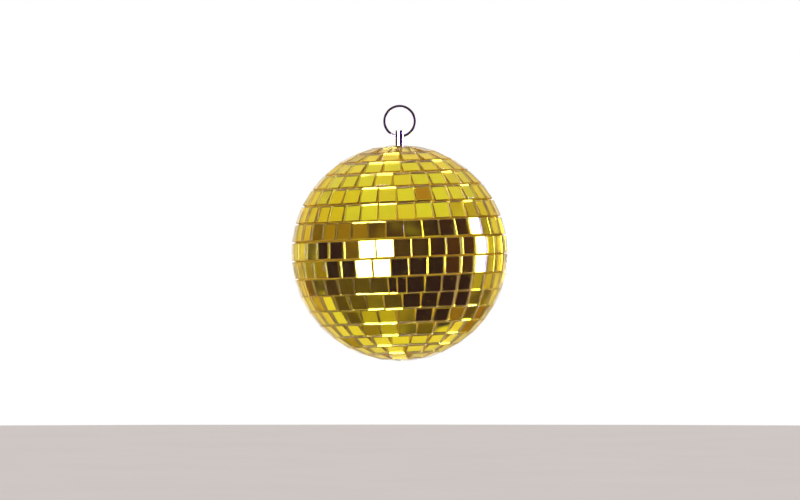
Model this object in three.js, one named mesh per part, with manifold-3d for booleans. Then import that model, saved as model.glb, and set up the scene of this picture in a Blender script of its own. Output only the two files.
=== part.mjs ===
// Mirror ball, 5 inch class: glass mirror tiles in cloth-backed rows on a hollow two-piece core,
// a chromed post through its top, and a split ring that hangs it up.
// Millimetres, +Z up, front towards -Y. The origin is where a hook carries the split ring,
// at the inside of the ring's top.

import * as THREE from 'three';
import { mergeVertices } from 'three/addons/utils/BufferGeometryUtils.js';
import Module from 'manifold-3d';

const wasm = await Module();
wasm.setup();

// Split ring: one flat wire wound into two coils that lie side by side
const RING_INNER_R = 8.05;
const RING_WIRE_WIDTH = 1.4;
const RING_WIRE_THICKNESS = 0.7;
const RING_COIL_GAP = 0.06;
const RING_STEP = 11.5;
const CROSSOVER_START = 12;
const CROSSOVER_END = 38;
const COIL_END_CLEARANCE = 1.5;

// Hanger post: a round post with a cross hole, a seat flange and a threaded shank below it
const POST_R = 2.5;
const POST_ABOVE_HOLE = 3.6;
const POST_EDGE_BREAK = 0.3;
const POST_HOLE_R = 1.5;
const FLANGE_R = 4.2;
const FLANGE_HEIGHT = 1.0;
const SHANK_R = 2.0;
const SHANK_END_BREAK = 0.5;
const SHANK_BELOW_NUT = 2.2;
const ROUND_SEGMENTS = 24;

// Mirror tiles: every face is a flat plane at this distance from the ball's centre
const TILE_FACE_DISTANCE = 62.1;
const TILE_GLASS = 1.6;
const TILE_CLOTH = 0.3;
const TILE_SIDE = 9.6;
const TILE_PITCH = 10.4;
const TILE_MIN_GAP = 0.3;
// Degrees of latitude that the rows take: two at the top, eight laid loosely, eight laid closer
const TOP_EDGE = 87.4;
const ROW_ANGLES = [...Array(2).fill(9.7), ...Array(8).fill(10.05), ...Array(8).fill(9.27)];
const ROW_COUNT = ROW_ANGLES.length;
const POLAR_TILES = 8;
const POLE_TILE_SIDE = 4.0;
const TILING_TILT = 2.3;
// Longitude of one tile joint in each row, in degrees right of the front, from the top row down
const ROW_JOINTS = [0, 4, 5, 4.6, -2.6, -0.5, -0.5, 2.9, -2.8, 4.9, 3.2, 0.5, -3.3, -3.3, 6.2, 2, 9, 20];

// Core: two moulded shells with a spigot joint at the equator
const CORE_R = 59.6;
const CORE_WALL = 2.0;
const CORE_SEGMENTS = 36;
const CORE_OUTER_STEPS = 12;
const CORE_INNER_STEPS = 8;
const SPIGOT_DEPTH = 3.0;
const BOSS_R = 6.0;
const BOSS_BOTTOM = 53.0;
const SEAT_FLOOR = 58.2;

// Hardware on the shank, inside the core
const SPREADER_R = 7.0;
const SPREADER_THICKNESS = 1.2;
const LOCK_WASHER_R = 3.8;
const LOCK_WASHER_THICKNESS = 1.0;
const LOCK_WASHER_SLOT = 0.22;
const NUT_FLAT_TO_FLAT = 7.0;
const NUT_HEIGHT = 3.2;
const HARDWARE_HOLE_R = 2.3;

// Neighbours that touch on the real ball keep this gap
const FIT = 0.3;

// Places that follow from the sizes above
const RING_WIRE_R = RING_INNER_R + RING_WIRE_WIDTH / 2;
const RING_CENTRE_Z = -RING_INNER_R;
const PIVOT_Z = RING_CENTRE_Z - RING_WIRE_R;
const POST_STANDS_OUT = 8.7;
const BALL_CENTRE_Z = PIVOT_Z + POST_ABOVE_HOLE - POST_STANDS_OUT - TILE_FACE_DISTANCE;
const POST_TOP = TILE_FACE_DISTANCE + POST_STANDS_OUT;
const POST_HOLE_Z = POST_TOP - POST_ABOVE_HOLE;
const FLANGE_BOTTOM = SEAT_FLOOR + FIT;
const SPREADER_TOP = BOSS_BOTTOM - FIT;
const LOCK_WASHER_TOP = SPREADER_TOP - SPREADER_THICKNESS - FIT;
const NUT_TOP = LOCK_WASHER_TOP - LOCK_WASHER_THICKNESS - FIT;
const SHANK_END = NUT_TOP - NUT_HEIGHT - SHANK_BELOW_NUT;

const steel = new THREE.MeshStandardMaterial({ color: 0xc9c7cc, roughness: 0.22, metalness: 1 });
const chrome = new THREE.MeshStandardMaterial({ color: 0xe4e2ea, roughness: 0.06, metalness: 1 });
const zinc = new THREE.MeshStandardMaterial({ color: 0xb8bab8, roughness: 0.35, metalness: 1 });
const plastic = new THREE.MeshStandardMaterial({ color: 0xd8d2c2, roughness: 0.6, metalness: 0 });
const mirror = new THREE.MeshStandardMaterial({ color: 0xd9b92e, roughness: 0.04, metalness: 1 });

const radians = THREE.MathUtils.degToRad;

// A named mesh of a closed geometry
function part(name, geometry, material) {
  const mesh = new THREE.Mesh(geometry, material);
  mesh.name = name;
  return mesh;
}

// A geometry with only positions, its shared corners merged
function merged(geometry) {
  const bare = geometry.clone();
  bare.deleteAttribute('normal');
  bare.deleteAttribute('uv');
  return mergeVertices(bare, 1e-4);
}

// The solid of a closed geometry, ready to cut
function solid(geometry) {
  const bare = merged(geometry);
  const vertProperties = new Float32Array(bare.attributes.position.array);
  const triVerts = new Uint32Array(bare.index.array);
  return new wasm.Manifold(new wasm.Mesh({ numProp: 3, vertProperties, triVerts }));
}

// The geometry of a cut solid
function geometryOf(manifold) {
  const mesh = manifold.getMesh();
  const geometry = new THREE.BufferGeometry();
  geometry.setAttribute('position', new THREE.BufferAttribute(new Float32Array(mesh.vertProperties), 3));
  geometry.setIndex([...mesh.triVerts]);
  return geometry;
}

// A lathe about +Z from [radius, z] pairs, listed so that its faces point out
function turned(profile, segments) {
  const points = profile.map(([radius, z]) => new THREE.Vector2(radius, z));
  return new THREE.LatheGeometry(points, segments).rotateX(Math.PI / 2);
}

// A plate of an outline with an optional round hole, from z = top down
function plate(outline, holeRadius, top, thickness) {
  const shape = new THREE.Shape(outline);
  if (holeRadius > 0) {
    shape.holes.push(new THREE.Path().absarc(0, 0, holeRadius, 0, 2 * Math.PI, true));
  }
  const geometry = new THREE.ExtrudeGeometry(shape, {
    depth: thickness,
    bevelEnabled: false,
    curveSegments: ROUND_SEGMENTS / 2,
  });
  return geometry.translate(0, 0, top - thickness);
}

// Corners of a regular outline
function regularOutline(corners, radius) {
  return Array.from({ length: corners }, (_, i) => {
    const angle = (i * 2 * Math.PI) / corners;
    return new THREE.Vector2(radius * Math.cos(angle), radius * Math.sin(angle));
  });
}

// Depth (along Y) of the ring's wire: front coil, then the crossover, then the back coil
function coilDepth(travel) {
  const halfPitch = (RING_WIRE_THICKNESS + RING_COIL_GAP) / 2;
  const crossoverStart = 360 - (CROSSOVER_END - CROSSOVER_START);
  const along = THREE.MathUtils.smoothstep(travel, crossoverStart, 360);
  return THREE.MathUtils.lerp(-halfPitch, halfPitch, along);
}

// The split ring: a rectangular wire that starts at the lower left, goes round clockwise in the
// front coil, steps back where it meets its own start, and goes round again behind it
function splitRing() {
  const crossover = CROSSOVER_END - CROSSOVER_START;
  const travelEnd = 720 - crossover - COIL_END_CLEARANCE;
  const steps = Math.ceil(travelEnd / RING_STEP);
  const positions = [];
  for (let i = 0; i <= steps; i += 1) {
    const travel = (travelEnd * i) / steps;
    const angle = radians(-CROSSOVER_END - travel);
    const y = coilDepth(travel);
    const corners = [[-1, -1], [1, -1], [1, 1], [-1, 1]];
    for (const [across, deep] of corners) {
      const radius = RING_WIRE_R + (across * RING_WIRE_WIDTH) / 2;
      const depth = y + (deep * RING_WIRE_THICKNESS) / 2;
      positions.push(radius * Math.sin(angle), depth, -radius * Math.cos(angle));
    }
  }
  const index = [0, 1, 2, 0, 2, 3];
  for (let i = 0; i < steps; i += 1) {
    for (let side = 0; side < 4; side += 1) {
      const a = 4 * i + side;
      const b = 4 * i + ((side + 1) % 4);
      index.push(a, b + 4, b, a, a + 4, b + 4);
    }
  }
  const last = 4 * steps;
  index.push(last, last + 2, last + 1, last, last + 3, last + 2);
  const geometry = new THREE.BufferGeometry();
  geometry.setAttribute('position', new THREE.Float32BufferAttribute(positions, 3));
  geometry.setIndex(index);
  return geometry;
}

// The post: turned about the ball's vertical axis, with a cross hole along X for the ring
function hangerPost() {
  const body = turned([
    [0, SHANK_END],
    [SHANK_R - SHANK_END_BREAK, SHANK_END],
    [SHANK_R, SHANK_END + SHANK_END_BREAK],
    [SHANK_R, FLANGE_BOTTOM],
    [FLANGE_R, FLANGE_BOTTOM],
    [FLANGE_R, FLANGE_BOTTOM + FLANGE_HEIGHT],
    [POST_R, FLANGE_BOTTOM + FLANGE_HEIGHT],
    [POST_R, POST_TOP - POST_EDGE_BREAK],
    [POST_R - POST_EDGE_BREAK, POST_TOP],
    [0, POST_TOP],
  ], ROUND_SEGMENTS);
  const drill = new THREE.CylinderGeometry(POST_HOLE_R, POST_HOLE_R, 4 * POST_R, ROUND_SEGMENTS);
  drill.rotateZ(Math.PI / 2).translate(0, 0, POST_HOLE_Z);
  return geometryOf(solid(body).subtract(solid(drill)));
}

// Points of an arc about the ball's centre, from one angle off the +Z pole to another
function arc(radius, fromPole, toPole, steps) {
  return Array.from({ length: steps + 1 }, (_, i) => {
    const angle = fromPole + ((toPole - fromPole) * i) / steps;
    return [radius * Math.sin(angle), radius * Math.cos(angle)];
  });
}

// The upper shell: a seat for the post's flange, a boss under it, and a spigot at the equator
function upperCoreShell() {
  const inner = CORE_R - CORE_WALL;
  const middle = CORE_R - CORE_WALL / 2 - FIT / 2;
  const seatR = FLANGE_R + FIT;
  const rimAngle = Math.asin(seatR / CORE_R);
  const bossAngle = Math.asin(BOSS_R / inner);
  return turned([
    [HARDWARE_HOLE_R, BOSS_BOTTOM],
    [BOSS_R, BOSS_BOTTOM],
    ...arc(inner, bossAngle, Math.PI / 2, CORE_INNER_STEPS),
    [inner, -SPIGOT_DEPTH],
    [middle, -SPIGOT_DEPTH],
    [middle, FIT / 2],
    ...arc(CORE_R, Math.PI / 2 - FIT / 2 / CORE_R, rimAngle, CORE_OUTER_STEPS),
    [seatR, SEAT_FLOOR],
    [HARDWARE_HOLE_R, SEAT_FLOOR],
    [HARDWARE_HOLE_R, BOSS_BOTTOM],
  ], CORE_SEGMENTS);
}

// The lower shell: a plain bowl whose rim steps out round the upper shell's spigot
function lowerCoreShell() {
  const inner = CORE_R - CORE_WALL;
  const middle = CORE_R - CORE_WALL / 2 + FIT / 2;
  const stepZ = -SPIGOT_DEPTH - FIT;
  const rimAngle = Math.PI / 2 + Math.asin(FIT / 2 / CORE_R);
  const stepAngle = Math.PI / 2 + Math.asin(-stepZ / inner);
  return turned([
    ...arc(CORE_R, Math.PI, rimAngle, CORE_OUTER_STEPS),
    [middle, -FIT / 2],
    [middle, stepZ],
    ...arc(inner, stepAngle, Math.PI, CORE_INNER_STEPS),
  ], CORE_SEGMENTS);
}

// A spring lock washer: a ring with one slot
function lockWasher() {
  const shape = new THREE.Shape();
  shape.absarc(0, 0, LOCK_WASHER_R, LOCK_WASHER_SLOT, 2 * Math.PI - LOCK_WASHER_SLOT, false);
  shape.absarc(0, 0, HARDWARE_HOLE_R, 2 * Math.PI - LOCK_WASHER_SLOT, LOCK_WASHER_SLOT, true);
  const geometry = new THREE.ExtrudeGeometry(shape, {
    depth: LOCK_WASHER_THICKNESS,
    bevelEnabled: false,
    curveSegments: ROUND_SEGMENTS / 2,
  });
  return merged(geometry.translate(0, 0, LOCK_WASHER_TOP - LOCK_WASHER_THICKNESS));
}

// Latitude of a row's middle, in radians; row 0 is the top one
function rowLatitude(row) {
  const above = ROW_ANGLES.slice(0, row).reduce((sum, angle) => sum + angle, 0);
  return radians(TOP_EDGE - above - ROW_ANGLES[row] / 2);
}

// How many tiles go round a row: what fits its mean length at the tile pitch
function tilesInRow(row) {
  if (row === 0 || row === ROW_COUNT - 1) {
    return POLAR_TILES;
  }
  const middle = Math.abs(rowLatitude(row));
  const narrow = middle + radians(ROW_ANGLES[row] / 2);
  const mean = (Math.cos(middle) + Math.cos(narrow)) / 2;
  return Math.ceil((2 * Math.PI * TILE_FACE_DISTANCE * mean) / TILE_PITCH);
}

// Lower and upper edge of a row's tiles, measured up the tile from its middle. The edge that faces
// the equator is cut back near the poles, where the tile's corners reach out over the next row
function tileEdges(row) {
  const latitude = rowLatitude(row);
  const half = TILE_SIDE / 2;
  const out = TILE_FACE_DISTANCE * Math.cos(latitude) + half * Math.abs(Math.sin(latitude));
  const overreach = (Math.hypot(out, half) - out) * Math.abs(Math.sin(latitude));
  const rowSpace = 2 * TILE_FACE_DISTANCE * Math.tan(radians(ROW_ANGLES[row] / 2));
  const cutBack = Math.max(0, overreach - (rowSpace - TILE_SIDE - FIT));
  return latitude > 0 ? [-half + cutBack, half] : [-half, half - cutBack];
}

// One row of flat tiles joined by their cloth: each tile is a slab square to the ball's radius,
// with a V-shaped gap to the next one that stops at the cloth
function tileRow(row) {
  const count = tilesInRow(row);
  const latitude = rowLatitude(row);
  const halfTurn = Math.PI / count;
  const clothDepth = (TILE_FACE_DISTANCE - TILE_GLASS) / TILE_FACE_DISTANCE;
  const innerDepth = (TILE_FACE_DISTANCE - TILE_GLASS - TILE_CLOTH) / TILE_FACE_DISTANCE;
  const positions = [];

  // Per tile and edge: left corner, right corner, gap bottom and inner corner at its right joint
  for (let k = 0; k < count; k += 1) {
    const longitude = radians(ROW_JOINTS[row] - 90) + (2 * k + 1) * halfTurn;
    const [c, s] = [Math.cos(longitude), Math.sin(longitude)];
    for (const up of tileEdges(row)) {
      const out = TILE_FACE_DISTANCE * Math.cos(latitude) - up * Math.sin(latitude);
      const z = TILE_FACE_DISTANCE * Math.sin(latitude) + up * Math.cos(latitude);
      const half = Math.min(TILE_SIDE / 2, out * Math.tan(halfTurn) - TILE_MIN_GAP / 2);
      const reach = Math.hypot(out, half);
      positions.push(out * c + half * s, out * s - half * c, z);
      positions.push(out * c - half * s, out * s + half * c, z);
      for (const depth of [clothDepth, innerDepth]) {
        const [jointC, jointS] = [Math.cos(longitude + halfTurn), Math.sin(longitude + halfTurn)];
        positions.push(depth * reach * jointC, depth * reach * jointS, depth * z);
      }
    }
  }

  const index = [];
  const quad = (a, b, c, d) => index.push(a, b, c, a, c, d);
  for (let k = 0; k < count; k += 1) {
    const low = 8 * k;
    const high = low + 4;
    const lowBefore = 8 * ((k + count - 1) % count);
    const highBefore = lowBefore + 4;
    quad(low, low + 1, high + 1, high);
    quad(low + 1, low + 2, high + 2, high + 1);
    quad(lowBefore + 2, low, high, highBefore + 2);
    quad(low + 3, lowBefore + 3, highBefore + 3, high + 3);
    quad(highBefore + 3, highBefore + 2, high, high + 1);
    quad(highBefore + 3, high + 1, high + 2, high + 3);
    quad(lowBefore + 3, low + 1, low, lowBefore + 2);
    quad(lowBefore + 3, low + 3, low + 2, low + 1);
  }
  const geometry = new THREE.BufferGeometry();
  geometry.setAttribute('position', new THREE.Float32BufferAttribute(positions, 3));
  geometry.setIndex(index);
  return geometry;
}

// The top row's tiles are nipped round the post, which leans out of the tiling's own axis
function nippedTopRow(tilt) {
  const cutter = new THREE.CylinderGeometry(POST_R + FIT, POST_R + FIT, 2 * CORE_WALL + 8, ROUND_SEGMENTS);
  cutter.rotateX(Math.PI / 2).translate(0, 0, TILE_FACE_DISTANCE).rotateY(-tilt);
  return geometryOf(solid(tileRow(0)).subtract(solid(cutter)));
}

// All tile rows and the small tile that closes the bottom, in the tiling's own axes
function tiling(tilt) {
  const group = new THREE.Group();
  group.rotation.y = tilt;
  for (let row = 0; row < ROW_COUNT; row += 1) {
    const name = `tile_row_${String(row + 1).padStart(2, '0')}`;
    group.add(part(name, row === 0 ? nippedTopRow(tilt) : tileRow(row), mirror));
  }
  const thickness = TILE_GLASS + TILE_CLOTH;
  const poleSlab = new THREE.BoxGeometry(POLE_TILE_SIDE, POLE_TILE_SIDE, thickness);
  const poleTile = part('bottom_pole_tile', poleSlab, mirror);
  poleTile.position.z = -TILE_FACE_DISTANCE + thickness / 2;
  group.add(poleTile);
  return group;
}

// Everything that swings as one piece under the ring
function ball() {
  const group = new THREE.Group();
  group.position.z = BALL_CENTRE_Z;
  const disc = regularOutline(ROUND_SEGMENTS, SPREADER_R);
  const spreader = plate(disc, HARDWARE_HOLE_R, SPREADER_TOP, SPREADER_THICKNESS);
  const hexagon = regularOutline(6, NUT_FLAT_TO_FLAT / Math.sqrt(3));
  group.add(
    part('hanger_post', hangerPost(), chrome),
    part('spreader_washer', spreader, zinc),
    part('lock_washer', lockWasher(), zinc),
    part('hex_nut', plate(hexagon, HARDWARE_HOLE_R, NUT_TOP, NUT_HEIGHT), zinc),
    part('upper_core_shell', upperCoreShell(), plastic),
    part('lower_core_shell', lowerCoreShell(), plastic),
    tiling(radians(-TILING_TILT)),
  );
  return group;
}

const ring = part('split_ring', splitRing(), steel);
ring.position.z = RING_CENTRE_Z;

const mirrorBall = new THREE.Group();
mirrorBall.add(ring, ball());

export default mirrorBall;
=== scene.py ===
"""Mirror ball: the looks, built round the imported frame.

Every tile is a slab of clear glass over its own gold silvering, so the ball mirrors the studio as the
real one does: sharp flat reflections, and pale or dark lines where the cut edges throw light back.
All lengths are in metres.
"""

from __future__ import annotations

import logging
import math
from dataclasses import dataclass, field
from enum import Enum
from typing import Any, Callable, Sequence

import bmesh
import bpy
from mathutils import Matrix, Vector


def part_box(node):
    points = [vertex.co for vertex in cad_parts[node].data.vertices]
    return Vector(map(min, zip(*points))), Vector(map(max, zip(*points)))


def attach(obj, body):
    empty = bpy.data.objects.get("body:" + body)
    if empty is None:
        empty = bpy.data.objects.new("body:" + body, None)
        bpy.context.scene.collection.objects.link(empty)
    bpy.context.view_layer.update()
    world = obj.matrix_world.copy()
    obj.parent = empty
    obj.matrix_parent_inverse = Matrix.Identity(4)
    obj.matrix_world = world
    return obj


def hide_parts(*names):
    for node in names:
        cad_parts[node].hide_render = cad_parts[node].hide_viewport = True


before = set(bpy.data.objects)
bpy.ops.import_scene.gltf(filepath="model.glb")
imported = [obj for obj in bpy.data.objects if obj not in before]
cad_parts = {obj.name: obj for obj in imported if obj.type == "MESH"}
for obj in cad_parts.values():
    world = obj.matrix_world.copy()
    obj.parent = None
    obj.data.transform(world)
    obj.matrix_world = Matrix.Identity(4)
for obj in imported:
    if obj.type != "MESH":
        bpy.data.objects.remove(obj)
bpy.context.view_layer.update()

MM = 0.001
log = logging.getLogger("mirror_ball")

Colour = tuple[float, float, float]
Band = tuple[float, float]
Dress = tuple[bpy.types.Material, bpy.types.Material]

RING_PIECE = "split_ring_wire"
SHARP_EDGE = 1.0  # radians: faces that meet at more than this have a real edge between them
STEEP = 0.5  # a face whose normal points up by less than this is a side


class Body(Enum):
    """The two bodies that move against each other."""

    RING = "ring"
    BALL = "ball"


class Slot(Enum):
    """The record's material slots."""

    MIRROR = "gold_mirror"
    CHROME = "post_chrome"
    RING = "ring_steel"
    ZINC = "hardware_zinc"
    PLASTIC = "core_plastic"


class TileLayer(Enum):
    """What one pass over a row of tiles lays down."""

    GLASS = "glass"
    SILVERING = "silvering"


# --------------------------------------------------------------------------------------------------
# Node trees
# --------------------------------------------------------------------------------------------------


class Bench:
    """Adds nodes to a tree and wires them, so that a tree reads as a list of steps."""

    def __init__(self, tree: bpy.types.NodeTree) -> None:
        """Starts on a tree.

        Args:
            tree: The node tree that nodes are added to.
        """
        self.tree = tree

    def fit(self, node: bpy.types.Node, inputs: dict[Any, Any]) -> None:
        """Sets or wires a node's input sockets.

        Args:
            node: The node.
            inputs: Socket name or number to a value, or to an output socket that it is wired to.
        """
        for key, value in inputs.items():
            socket = node.inputs[key]
            if isinstance(value, bpy.types.NodeSocket):
                self.tree.links.new(value, socket)
            else:
                socket.default_value = (*value, 1.0) if socket.type == "RGBA" else value

    def add(self, kind: str, inputs: dict[Any, Any] | None = None, **settings: Any) -> bpy.types.Node:
        """Adds a node.

        Args:
            kind: The node's bl_idname.
            inputs: What goes into its sockets, as in fit.
            **settings: Properties of the node itself.

        Returns:
            The new node.
        """
        node = self.tree.nodes.new(kind)
        for name, value in settings.items():
            setattr(node, name, value)
        self.fit(node, inputs or {})
        return node

    def place(self, output: str = "Object") -> bpy.types.NodeSocket:
        """Adds texture coordinates and returns them."""
        return self.add("ShaderNodeTexCoord").outputs[output]

    def maths(self, operation: str, *values: Any, clamp: bool = False) -> bpy.types.NodeSocket:
        """Adds a Math node and returns its output socket."""
        node = self.add("ShaderNodeMath", dict(enumerate(values)), operation=operation, use_clamp=clamp)
        return node.outputs[0]

    def vector(self, operation: str, *values: Any) -> bpy.types.Node:
        """Adds a Vector Math node and returns it."""
        return self.add("ShaderNodeVectorMath", dict(enumerate(values)), operation=operation)

    def scaled(self, direction: Any, amount: Any) -> bpy.types.NodeSocket:
        """Adds a vector times a number and returns it."""
        inputs = {0: direction, "Scale": amount}
        return self.add("ShaderNodeVectorMath", inputs, operation="SCALE").outputs[0]

    def combine(self, x: Any = 0.0, y: Any = 0.0, z: Any = 0.0) -> bpy.types.NodeSocket:
        """Adds a Combine XYZ node and returns its vector."""
        return self.add("ShaderNodeCombineXYZ", {0: x, 1: y, 2: z}).outputs[0]

    def ramp(self, value: Any, low: float, high: float) -> bpy.types.NodeSocket:
        """Adds a smooth step of a value from 0 at low to 1 at high and returns it."""
        inputs = {"Value": value, "From Min": low, "From Max": high}
        return self.add("ShaderNodeMapRange", inputs, interpolation_type="SMOOTHSTEP").outputs["Result"]

    def between(self, share: Any, low: float, high: float) -> bpy.types.NodeSocket:
        """Adds a number that goes from low to high as a share goes from 0 to 1 and returns it."""
        inputs = {"Value": share, "To Min": low, "To Max": high}
        return self.add("ShaderNodeMapRange", inputs).outputs["Result"]

    def mix(self, share: Any, first: Any, second: Any) -> bpy.types.NodeSocket:
        """Adds a colour mix and returns its colour."""
        inputs = {0: share, 6: first, 7: second}
        return self.add("ShaderNodeMix", inputs, data_type="RGBA").outputs[2]

    def noise(
        self, place: Any, scale: float, detail: float = 2.0, rough: float = 0.5
    ) -> bpy.types.NodeSocket:
        """Adds a noise texture and returns its factor."""
        inputs = {"Vector": place, "Scale": scale, "Detail": detail, "Roughness": rough}
        return self.add("ShaderNodeTexNoise", inputs).outputs["Fac"]

    def bump(self, height: Any, distance: float, strength: float = 1.0) -> bpy.types.NodeSocket:
        """Adds a Bump node and returns its normal."""
        inputs = {"Height": height, "Distance": distance, "Strength": strength}
        return self.add("ShaderNodeBump", inputs).outputs["Normal"]


# --------------------------------------------------------------------------------------------------
# Finishes
# --------------------------------------------------------------------------------------------------


@dataclass(frozen=True)
class Finish:
    """A surface finish: a material with one Principled shader, whose sockets each finish fills."""

    name: str

    def sockets(self, bench: Bench) -> dict[str, Any]:
        """Makes what goes into the shader's sockets; every finish has its own."""
        raise NotImplementedError

    def material(self) -> bpy.types.Material:
        """Builds the finish's material.

        Returns:
            The new material.
        """
        material = bpy.data.materials.new(self.name)
        material.use_nodes = True
        bench = Bench(material.node_tree)
        bench.fit(material.node_tree.nodes["Principled BSDF"], self.sockets(bench))
        return material


@dataclass(frozen=True)
class ClearGlass(Finish):
    """Float glass: the polished faces of a tile, or its scored and snapped edges."""

    tint: Colour
    gleam: Colour
    roughness: float
    film: float
    ior: float = 1.32

    def sockets(self, bench: Bench) -> dict[str, Any]:
        """Makes the shader's inputs for the glass.

        Args:
            bench: The bench on the material's tree.

        Returns:
            Socket names to values or to output sockets.
        """
        return {
            "Base Color": self.tint,
            "Specular Tint": self.gleam,
            "Roughness": self.roughness,
            "IOR": self.ior,
            "Transmission Weight": 1.0 - self.film,
        }


@dataclass(frozen=True)
class GoldSilvering(Finish):
    """The gold mirror coat: each tile its own shade, a little wavy, with pinholes and dull blooms."""

    name: str = "gold_silvering"
    green_gold: Colour = (0.80, 0.71, 0.016)
    warm_gold: Colour = (0.81, 0.65, 0.014)
    warm_tiles: Band = (0.7, 1.0)
    drift_scale: float = 55.0
    drift_band: Band = (0.55, 0.9)
    pinhole: Colour = (0.10, 0.045, 0.012)
    pinhole_scale: float = 2600.0
    pinhole_band: Band = (0.74, 0.78)
    roughness: float = 0.02
    bloom_roughness: float = 0.55
    bloom_scale: float = 1050.0
    bloom_band: Band = (0.715, 0.75)
    wave_length: float = 0.016
    wave_height: float = 0.00035
    wave_crispness: float = 0.4

    def sockets(self, bench: Bench) -> dict[str, Any]:
        """Makes the shader's inputs for the silvering, by the tile's own tone and by place on the ball.

        Args:
            bench: The bench on the material's tree.

        Returns:
            Socket names to values or to output sockets.
        """
        place = bench.place()
        tone = bench.add("ShaderNodeAttribute", attribute_name="tone").outputs["Fac"]
        warm_tile = bench.ramp(tone, *self.warm_tiles)
        warm_patch = bench.ramp(bench.noise(place, self.drift_scale), *self.drift_band)
        warm = bench.maths("ADD", warm_tile, warm_patch, clamp=True)
        gold = bench.mix(warm, self.green_gold, self.warm_gold)
        specks = bench.ramp(bench.noise(place, self.pinhole_scale, 1.0), *self.pinhole_band)
        blooms = bench.ramp(bench.noise(place, self.bloom_scale), *self.bloom_band)
        waves = bench.noise(place, 1.0 / self.wave_length, 1.0, self.wave_crispness)
        return {
            "Base Color": bench.mix(specks, gold, self.pinhole),
            "Roughness": bench.between(blooms, self.roughness, self.bloom_roughness),
            "Normal": bench.bump(waves, self.wave_height),
            "Metallic": 1.0,
        }


@dataclass(frozen=True)
class BackPaint(Finish):
    """The protective paint on the back of the silvering, which shows at a tile's rim."""

    name: str = "mirror_back_paint"
    light: Colour = (0.90, 0.56, 0.05)
    dark: Colour = (0.52, 0.27, 0.02)
    patch_scale: float = 420.0
    patch_band: Band = (0.35, 0.7)
    roughness: float = 0.7
    sheen_level: float = 0.02

    def sockets(self, bench: Bench) -> dict[str, Any]:
        """Makes the shader's inputs for the paint, with lighter and darker patches.

        Args:
            bench: The bench on the material's tree.

        Returns:
            Socket names to values or to output sockets.
        """
        patches = bench.ramp(bench.noise(bench.place(), self.patch_scale, 3.0), *self.patch_band)
        return {
            "Base Color": bench.mix(patches, self.light, self.dark),
            "Roughness": self.roughness,
            "Specular IOR Level": self.sheen_level,
        }


@dataclass(frozen=True)
class WovenCloth(Finish):
    """The open cotton weave that the tiles are glued to, with glue soaked into it and painted shade in
    the hollows between its threads.
    """

    name: str = "tile_cloth"
    thread: Colour = (0.95, 0.62, 0.03)
    # painted shade: the darker colour laid in the weave's hollows between threads
    painted_hollow_shade: Colour = (0.62, 0.28, 0.0)
    glue: Colour = (0.95, 0.68, 0.02)
    threads_round: float = 520.0
    threads_across: float = 14.0
    thread_height: float = 0.00012
    thread_strength: float = 0.8
    glue_scale: float = 160.0
    glue_band: Band = (0.45, 0.65)
    dry_roughness: float = 0.95
    glued_roughness: float = 0.6
    sheen_level: float = 0.02

    def sockets(self, bench: Bench) -> dict[str, Any]:
        """Makes the shader's inputs for the cloth, woven along the strip's own UV map.

        Args:
            bench: The bench on the material's tree.

        Returns:
            Socket names to values or to output sockets.
        """
        uv = bench.add("ShaderNodeUVMap", uv_map="UVMap").outputs["UV"]
        split = bench.add("ShaderNodeSeparateXYZ", {0: uv})
        waves = []
        for axis, count in (("X", self.threads_round), ("Y", self.threads_across)):
            turn = bench.maths("MULTIPLY", split.outputs[axis], count * 2.0 * math.pi)
            waves.append(bench.maths("ABSOLUTE", bench.maths("SINE", turn)))
        weave = bench.maths("MAXIMUM", *waves)
        soaked = bench.ramp(bench.noise(bench.place(), self.glue_scale, 3.0), *self.glue_band)
        # the weave's hollows take the darker colour: painted shade in the recesses between threads
        cotton_with_painted_shade = bench.mix(weave, self.painted_hollow_shade, self.thread)
        return {
            "Base Color": bench.mix(soaked, cotton_with_painted_shade, self.glue),
            "Roughness": bench.between(soaked, self.dry_roughness, self.glued_roughness),
            "Normal": bench.bump(weave, self.thread_height, self.thread_strength),
            "Specular IOR Level": self.sheen_level,
        }


@dataclass(frozen=True)
class PlatedSteel(Finish):
    """A plated metal with handling marks, from mirror chrome to dull zinc."""

    bright: Colour
    worn: Colour
    roughness: float
    roughness_spread: float
    scratch: float
    scratch_scale: float = 5200.0
    scratch_stretch: float = 0.12
    scratch_strength: float = 0.6
    wear_scale: float = 900.0
    wear_band: Band = (0.48, 0.72)

    def sockets(self, bench: Bench) -> dict[str, Any]:
        """Makes the shader's inputs for the plating, with worn patches and fine scratches.

        Args:
            bench: The bench on the material's tree.

        Returns:
            Socket names to values or to output sockets.
        """
        place = bench.place()
        stretched = bench.vector("MULTIPLY", place, (1.0, 1.0, self.scratch_stretch)).outputs[0]
        wear = bench.ramp(bench.noise(place, self.wear_scale, 4.0), *self.wear_band)
        streaks = bench.noise(stretched, self.scratch_scale, 3.0)
        return {
            "Base Color": bench.mix(wear, self.bright, self.worn),
            "Roughness": bench.between(wear, self.roughness, self.roughness + self.roughness_spread),
            "Normal": bench.bump(streaks, self.scratch, self.scratch_strength),
            "Metallic": 1.0,
        }


@dataclass(frozen=True)
class MouldedPlastic(Finish):
    """The core's plain moulded plastic, faintly mottled and orange-peeled."""

    name: str = "core_moulding"
    pale: Colour = (0.66, 0.60, 0.48)
    deep: Colour = (0.54, 0.48, 0.37)
    mottle_scale: float = 90.0
    peel_scale: float = 1500.0
    peel_height: float = 0.00004
    peel_strength: float = 0.5
    roughness: float = 0.5

    def sockets(self, bench: Bench) -> dict[str, Any]:
        """Makes the shader's inputs for the moulding.

        Args:
            bench: The bench on the material's tree.

        Returns:
            Socket names to values or to output sockets.
        """
        place = bench.place()
        mottle = bench.noise(place, self.mottle_scale, 4.0)
        peel = bench.noise(place, self.peel_scale)
        return {
            "Base Color": bench.mix(mottle, self.pale, self.deep),
            "Roughness": self.roughness,
            "Normal": bench.bump(peel, self.peel_height, self.peel_strength),
        }


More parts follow.
